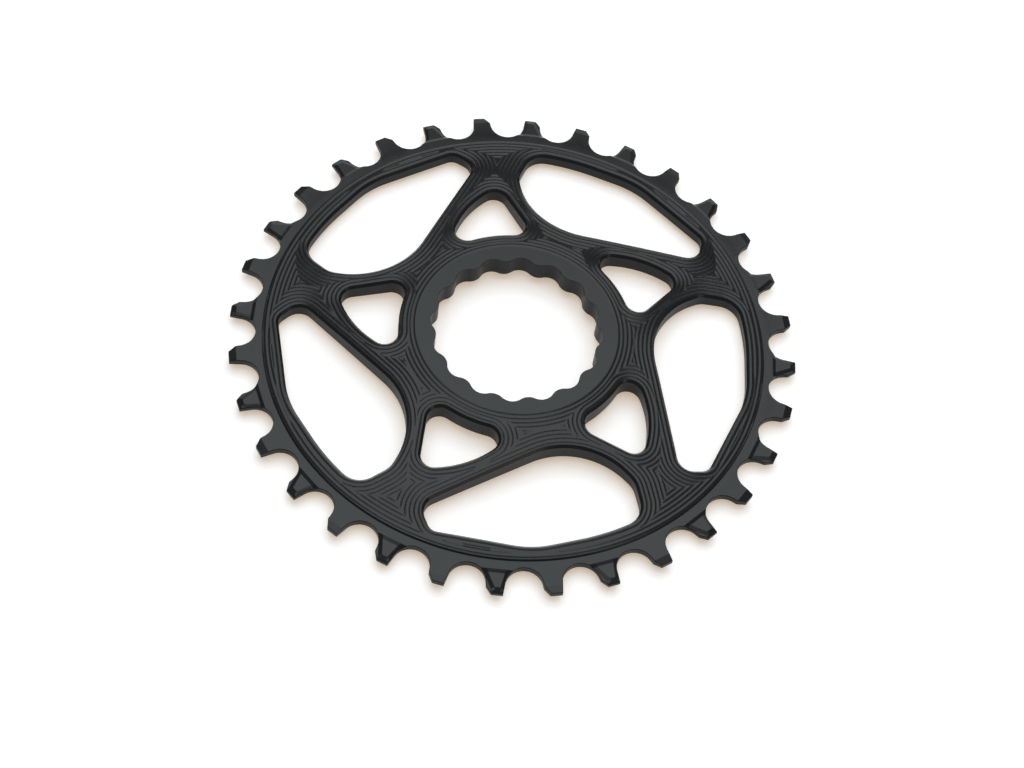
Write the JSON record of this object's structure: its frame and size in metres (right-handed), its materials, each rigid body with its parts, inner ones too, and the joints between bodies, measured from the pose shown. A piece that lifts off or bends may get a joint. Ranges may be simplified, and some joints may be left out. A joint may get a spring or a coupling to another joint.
{
  "type": "bicycle chainring",
  "caption": "Direct-mount bicycle chainring in black anodised aluminium: splined bore, dished web with pinwheel arms and alternating narrow and wide teeth.",
  "frame": {"origin": "on the ring's axis, in the plane of the rim's foot", "axes": "+Z along the axis, from the rim's foot towards the raised hub; a narrow tooth on +X"},
  "size_m": [0.1336, 0.1336, 0.0078],
  "materials": {
    "anodised_black": "black anodised over machining grooves, satin"
  },
  "bodies": {
    "root": {"chainring": "anodised_black"}
  },
  "joints": []
}
